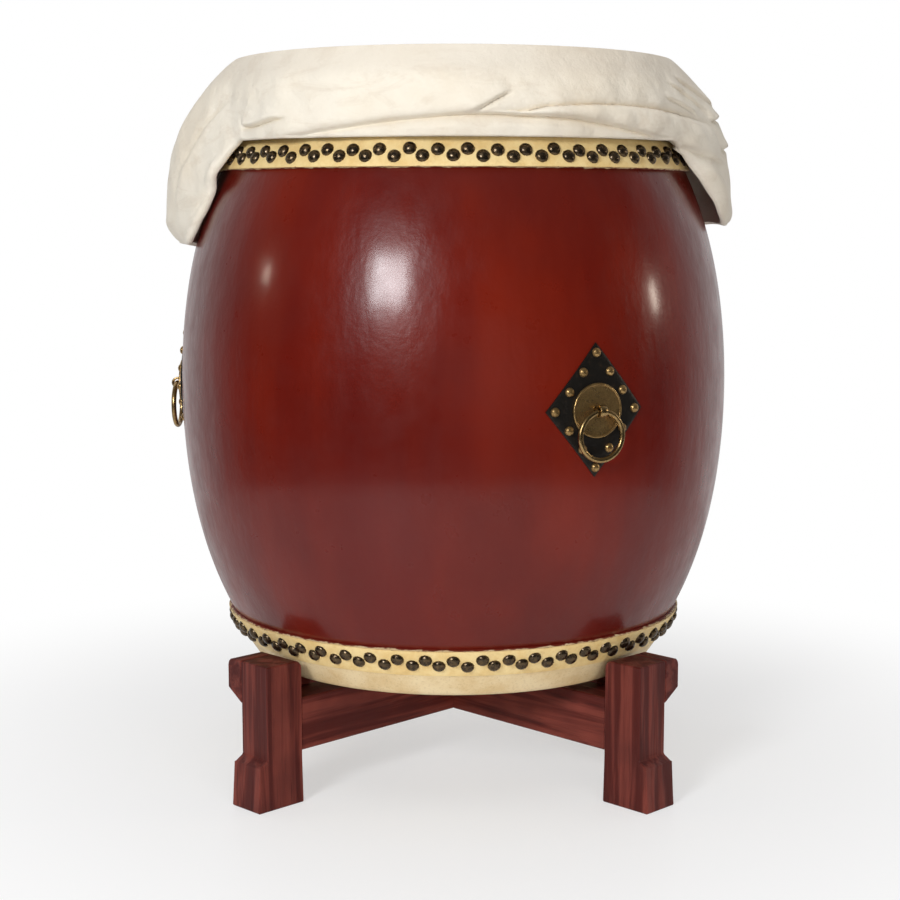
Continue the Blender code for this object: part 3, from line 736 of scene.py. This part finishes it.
# Waves as height, turns round the cover, radians for each metre along it, and phase
waves = {
    "all": ((1.5, 7, 9, 1), (1.0, 13, -24, 0), (0.6, 23, 40, 2), (0.45, 37, -90, 1), (0.35, 51, 130, 0)),
    "sides": ((2.6, 9, 14, 2), (1.8, 15, -9, 0)),
    "top": ((1, 3, 22, 0), (0.6, 5, -37, 1), (0.4, 9, 60, 0)),
    "sideTurn": (70, 110), "fade": (6 * mm, 50 * mm),
}


# Height of the hem: high over the front, low at the sides and the rear, with two waves that grow there
def coverHem(azimuth):
    turn, hem = abs(azimuth), hemForm
    left = hem["front"] - (hem["front"] - hem["left"]) * ramp(turn, *hem["leftTurn"])
    right = hem["front"] - (hem["front"] - hem["right"]) * ramp(turn, *hem["rightTurn"])
    side = np.where(azimuth < 0, left, right)
    wave = hem["wave"] * (np.sin(np.radians(5 * azimuth) + 1) + np.sin(np.radians(11 * azimuth)))
    return side + (hem["rear"] - side) * ramp(turn, *hem["rearTurn"]) + wave * ramp(turn, *hem["waveTurn"])


# How far the hide swells out: least at the front, most at the sides, and in waves at the rear
def coverSwell(azimuth):
    turn, swell = abs(azimuth), swellForm
    side = np.where(azimuth < 0, swell["left"], swell["right"])
    grown = swell["front"] + (side - swell["front"]) * ramp(turn, *swell["sideTurn"])
    grown = grown + (swell["rear"] - side) * ramp(turn, *swell["rearTurn"])
    return grown + swell["wave"] * np.sin(np.radians(9 * azimuth)) * ramp(turn, *swell["waveTurn"])


# Radius of the hanging hide, kept off the drum. At the front a slanted shoulder a and an upright side b, both
# straight lines, are joined by the soft minimum -s log(e^(-a / s) + e^(-b / s)). Elsewhere the swell rises
# and falls as sin(2 f^0.75) over the fall f, and the hide is tucked in at its end.
def coverRadius(azimuth, z):
    fall = np.clip((cover["top"] - z) / cover["fall"], 0, None)
    swell = coverSwell(azimuth) * np.sin(2 * fall**0.75)
    hung = cover["shoulder"] + swell - cover["tuck"] * ramp(fall, 0.88, 1)
    drop = (cover["top"] - z) / mm
    slant = cover["slant"][0] + cover["slant"][1] * drop
    upright = cover["upright"][0] + cover["upright"][1] * drop
    soft = cover["blend"]
    boxed = cover["shoulder"] + mm * (-soft * np.log(np.exp(-slant / soft) + np.exp(-upright / soft)))
    front = 1 - ramp(abs(azimuth), *cover["boxTurn"])
    free = hung * (1 - front) + boxed * front
    overTacks = (bandOffset + tacks["rise"]) * ramp(z, topEdge - 25 * mm, topEdge)
    return np.maximum(free, barrelRadius(z) + cover["thickness"] + cover["hug"] + overTacks)


# Distance of each point from a fold's line, the side it is on, and its share of the way along the line
def foldDistance(azimuth, z, line):
    line = np.array(line, float) * (cover["alongDegree"], 1)
    x, y = azimuth * cover["alongDegree"], z / mm
    best, sign, share = np.full(x.shape, 1e9), np.ones(x.shape), np.zeros(x.shape)
    count = len(line) - 1
    for i, (a, b) in enumerate(zip(line[:-1], line[1:])):
        d = b - a
        t = np.clip(((x - a[0]) * d[0] + (y - a[1]) * d[1]) / (d @ d), 0, 1)
        dx, dy = x - a[0] - t * d[0], y - a[1] - t * d[1]
        distance = np.hypot(dx, dy)
        nearer = distance < best
        best = np.where(nearer, distance, best)
        sign = np.where(nearer, np.sign(d[0] * dy - d[1] * dx), sign)
        share = np.where(nearer, (i + t) / count, share)
    return best, sign, share


# A roll that starts sharply at its line and dies away over the width w: (1 - e^(-d / 0.16 w)) e^(-d / w),
# where 1.6 brings the peak up to the height
def rolled(distance, height, width):
    away = np.clip(distance, 0, None) / width
    return height * 1.6 * (1 - np.exp(-away / 0.16)) * np.exp(-away)


# The long crease at the front. Above its line the hide stands out in a plain roll, which further right
# becomes a sausage, half an ellipse up to the roll's top. Below it the hide is drawn in, and bulges
# halfway to the hem.
def creaseRelief(azimuth, z, hem):
    form, height = creaseForm, z / mm
    crease, upper = np.interp(azimuth, *form["line"]), np.interp(azimuth, *form["rollTop"])
    above, thick = height - crease, np.maximum(upper - crease, 3)
    share = np.clip(above / thick, 0, 1)
    fat = form["fat"] * np.sqrt(np.clip(1 - (2 * share - 1) ** 2, 0, 1)) ** 0.9
    sausage = np.where(above < thick, fat, rolled(above - thick, *form["past"]))
    rollShare = ramp(azimuth, *form["rollTurn"])
    over = rolled(above, *form["single"]) * (1 - rollShare) + sausage * rollShare
    under = form["under"] + form["bulge"] * bell(height, (crease + hem / mm) / 2, form["bulgeWidth"])
    step = ramp(above, *form["step"])
    depth, place, width = form["groove"]
    strength = ramp(azimuth, *form["start"]) * (1 - ramp(azimuth, *form["end"]))
    return strength * (over * step + under * (1 - step) - depth * bell(above, place, width))


# The small folds: each a roll on one side of its line over a narrow tuck, and both fade at the line's ends
def foldRelief(azimuth, z):
    relief = 0
    for line, roll, tuck, width in folds:
        distance, sign, part = foldDistance(azimuth, z, line)
        fade = ramp(part, 0, 0.2) * ramp(1 - part, 0, 0.2)
        out = np.where(sign > 0, rolled(distance, roll, width), 0)
        relief = relief + fade * (out - tuck * bell(distance, 0, 0.22 * width))
    return relief


# The rolled edge of the hanging parts: e e^(1 - e), where e is the way from the hem, measured square to
# it, over the roll's width
def hemRelief(azimuth, z, hem, steepness):
    edge = np.clip(z - hem, 0, None) / mm / steepness / hemForm["rollWidth"]
    return ramp(abs(azimuth), *hemForm["rollTurn"]) * hemForm["roll"] * edge * np.exp(1 - edge)


# The sum of the sines of a set of waves, at angles t and at distances along the hide
def waved(kind, t, along):
    return sum(high * np.sin(turns * t + climb * along + phase) for high, turns, climb, phase in waves[kind])


# How far the hide stands out of its plain form: the crease, the small folds, the rolled edge and soft waves
def coverRelief(azimuth, z, hem, steepness):
    t = np.radians(azimuth)
    relief = creaseRelief(azimuth, z, hem) + foldRelief(azimuth, z) + hemRelief(azimuth, z, hem, steepness)
    soft = waved("all", t, z) + ramp(abs(azimuth), *waves["sideTurn"]) * waved("sides", t, z)
    return (relief + soft * ramp(cover["top"] - z, *waves["fade"])) * mm


# The top, from its middle to the shoulder: ripples on a low crown whose edge is rounded down
def coverTop(t):
    r = (cover["shoulder"] - 1 * mm) * steps(0, 1, 44)[None, :-1] + 0 * t
    away = r / cover["shoulder"]
    z = cover["top"] - cover["topDrop"] + waved("top", t, r) * cover["ripple"] * np.sin(math.pi * away)
    return r, z - cover["crown"] * away**2 - cover["roundDown"] * ramp(away, 0.93, 1)


# The outside, from the shoulder down to just over the hem. Its rows are crowded towards the shoulder.
def coverSide(azimuth, hem, start, end):
    slope = (coverHem(azimuth + 0.5) - coverHem(azimuth - 0.5)) / (math.radians(1) * cover["reach"])
    z = start + (end - start) * steps(0, 1, cover["rows"])[None, :] ** cover["crowding"]
    wide = np.broadcast_to(azimuth, z.shape)
    relief = coverRelief(wide, z, hem, np.sqrt(1 + slope**2))
    overTacks = (bandOffset + tacks["rise"]) * ramp(z, topEdge - 12 * mm, topEdge - 4 * mm)
    clear = barrelRadius(z) + cover["thickness"] + cover["clearance"] + overTacks
    return np.maximum(coverRadius(wide, z) + relief, np.where(z < barrel["high"], clear, 0)), z


# The inside, from the hem up to the roof. Its radius is the outside's at the same height, found between two
# of its rows, less the thickness, and it stays near the plain form.
def coverBack(azimuth, sideR, start, end):
    thickness, rows = cover["thickness"], cover["rows"]
    z = end + (start - thickness - 4 * mm - end) * steps(0, 1, 26)[None, :]
    row = np.clip((z - start) / (end - start), 0, 1) ** (1 / cover["crowding"]) * (rows - 1)
    low = np.clip(np.floor(row).astype(int), 0, rows - 2)
    column = np.arange(len(azimuth))[:, None]
    r = sideR[column, low] * (1 - row + low) + sideR[column, low + 1] * (row - low) - thickness
    return np.minimum(r, coverRadius(np.broadcast_to(azimuth, z.shape), z) - thickness + 3 * mm), z


# One closed surface: the top from its middle to the shoulder, down the side, round the hem, up the inside
# and back to the middle under the top
def coverPoints():
    azimuth = steps(-180, 180, cover["columns"] + 1)[:-1][:, None]
    t, hem, half = np.radians(azimuth), coverHem(azimuth), cover["thickness"] / 2
    start, end = cover["top"] - cover["sideDrop"], hem + cover["hemLift"]
    topR, topZ = coverTop(t)
    sideR, sideZ = coverSide(azimuth, hem, start, end)
    curl = np.radians(steps(25, 155, 5))[None, :]
    hemR, hemZ = sideR[:, -1:] - half + half * np.cos(curl), end - 0.7 * half * np.sin(curl)
    backR, backZ = coverBack(azimuth, sideR, start, end)
    roofR = (cover["shoulder"] - cover["thickness"]) * steps(1, 0, 12)[None, :] + 0 * t
    roofZ = start - cover["thickness"] + 0 * roofR
    radii = np.concatenate([topR, sideR, hemR, backR, roofR], 1)
    heights = np.concatenate([topZ, sideZ, hemZ, backZ, roofZ], 1)
    points = np.stack([radii * np.sin(t), -radii * np.cos(t), heights], -1)
    return points, cells(*radii.shape, True)


pad = {"reach": 222 * mm, "soft": 16 * mm, "below": 4.5 * mm, "sides": 144}


# The pad: a soft disc whose side is half an ellipse
def padPoints():
    low, high = barrel["high"] + gap, cover["top"] - cover["thickness"] - pad["below"]
    half, soft, flat = (high - low) / 2, pad["soft"], pad["reach"] - pad["soft"]
    side = arc((0, 0), 1, 90, -90, 16) * (soft, half) + (flat, low + half)
    out = steps(0, flat, 20)[:-1]
    back = steps(flat, 0, 20)[1:]
    top, under = np.stack([out, high + 0 * out], -1), np.stack([back, low + 0 * back], -1)
    profile = np.concatenate([top, side, under])
    return turned(profile, allRound(pad["sides"])), cells(pad["sides"], len(profile), True)


hideForm = *coverPoints(), paints["hide"]
hidePiece = makePiece("folded_hide", *hideForm, "cover", "cover_hide", ["cover_hide"], 80)
padPiece = makePiece("soft_pad", *padPoints(), paints["felt"], "cover", "felt", ["cover_pad"], 70)
layer = sum(polygon.area for polygon in hidePiece.data.polygons) / 2
print("cover ready, square metres in each layer of the hide:", round(layer, 4))

# Stage, lights and camera

stageLook = {
    "floor": (0.97, 0.97, 0.97), "rough": 0.45, "specular": 0.2, "reach": 1.25, "sides": 64,
    "fadeFrom": 0.34, "fadeTo": 0.95, "lift": 0.5,
}
worldLook = {"front": 0.03, "behind": 0.75, "above": 0.12}


# A disc of floor that the camera sees fade to white away from the piece
def makeStage():
    mesh = bpy.data.meshes.new("floor")
    around = allRound(stageLook["sides"])
    rim = np.stack([np.cos(around), np.sin(around), 0 * around], -1) * stageLook["reach"]
    mesh.from_pydata(rim.tolist(), [], [list(range(len(rim)))])
    material, tree = startMaterial("floor_white")
    tree.nodes.clear()
    at = Wire(tree).node("TexCoord", {}, {}, "Object")
    away = at.node("VectorMath", {"operation": "LENGTH"}, {0: at}, "Value")
    lit = away.step(stageLook["fadeFrom"], stageLook["fadeTo"]) * (1 - stageLook["lift"]) + stageLook["lift"]
    fade = lit * at.node("LightPath", {}, {}, "Is Camera Ray")
    look = {"Roughness": stageLook["rough"], "Specular IOR Level": stageLook["specular"]}
    matte = at.node("BsdfPrincipled", {}, {"Base Color": (*stageLook["floor"], 1), **look})
    glow = at.node("Emission", {}, {"Color": (1, 1, 1, 1), "Strength": 1.0})
    surface = at.node("MixShader", {}, {0: fade, 1: matte, 2: glow})
    tree.links.new(surface.socket, tree.nodes.new("ShaderNodeOutputMaterial").inputs["Surface"])
    mesh.materials.append(material)
    floor = bpy.data.objects.new("floor", mesh)
    bpy.context.scene.collection.objects.link(floor)


# White to the camera. To the piece it is dark in front and lighter behind and above, for the lacquer's gloss.
def makeWorld():
    world = bpy.data.worlds.new("studio")
    world.use_nodes = True
    tree = world.node_tree
    tree.nodes.clear()
    at = Wire(tree).node("TexCoord", {}, {}, "Generated")
    behind = at.axis(1).step(0.0, 0.75)
    above = at.axis(2).step(0.2, 0.9)
    plain = behind * worldLook["behind"] + above * worldLook["above"] + worldLook["front"]
    seen = at.node("LightPath", {}, {}, "Is Camera Ray")
    strength = plain * (1 - seen) + seen
    ground = at.node("Background", {}, {"Color": (1, 1, 1, 1), "Strength": strength})
    tree.links.new(ground.socket, tree.nodes.new("ShaderNodeOutputWorld").inputs["Surface"])
    bpy.context.scene.world = world


# An area lamp turned to its target. One that isn't glossy lights the piece without showing in its gloss.
def addLamp(name, place, target, size, power, colour, glossy):
    data = bpy.data.lights.new(name, "AREA")
    data.shape = "RECTANGLE"
    data.size, data.size_y = size
    data.energy, data.color = power, colour
    lamp = bpy.data.objects.new(name, data)
    lamp.location = place
    lamp.visible_glossy = glossy
    lamp.rotation_euler = (Vector(target) - Vector(place)).to_track_quat("-Z", "Y").to_euler()
    bpy.context.scene.collection.objects.link(lamp)


# The camera looks along +Y, pitched down by an angle in radians
def makeCamera(place, pitch, lens, shift, sensor):
    data = bpy.data.cameras.new("camera")
    data.sensor_width, data.lens, data.shift_x = sensor, lens, shift
    camera = bpy.data.objects.new("camera", data)
    camera.location = place
    camera.rotation_euler = (math.pi / 2 - pitch, 0, 0)
    bpy.context.scene.collection.objects.link(camera)
    bpy.context.scene.camera = camera


lamps = {
    "key": ((-1.45, -2.95, 1.62), (0, 0, 0.5), (0.85, 0.70), 66, (0.95, 0.975, 1.0), True),
    "left": ((-3.0, -0.35, 1.25), (0, 0, 0.5), (0.10, 0.13), 2.4, (1.0, 0.88, 0.72), True),
    "right": ((3.1, -0.05, 1.0), (0, 0, 0.5), (0.16, 0.26), 5.5, (1.0, 0.88, 0.74), True),
    "above": ((0.0, -0.9, 3.2), (0, 0, 0.4), (2.4, 2.0), 26, (1.0, 1.0, 1.0), False),
    "fill": ((0.7, -3.2, 0.5), (0, 0, 0.45), (2.0, 0.9), 36, (1.0, 0.98, 0.96), False),
}
for name, values in lamps.items():
    addLamp(name, *values)
makeStage()
makeWorld()
makeCamera(place=(0, -1.991, 0.6164), pitch=0.135, lens=71.42, shift=-0.00367, sensor=36)
bpy.context.scene.view_settings.view_transform = "Standard"
print("stage ready")
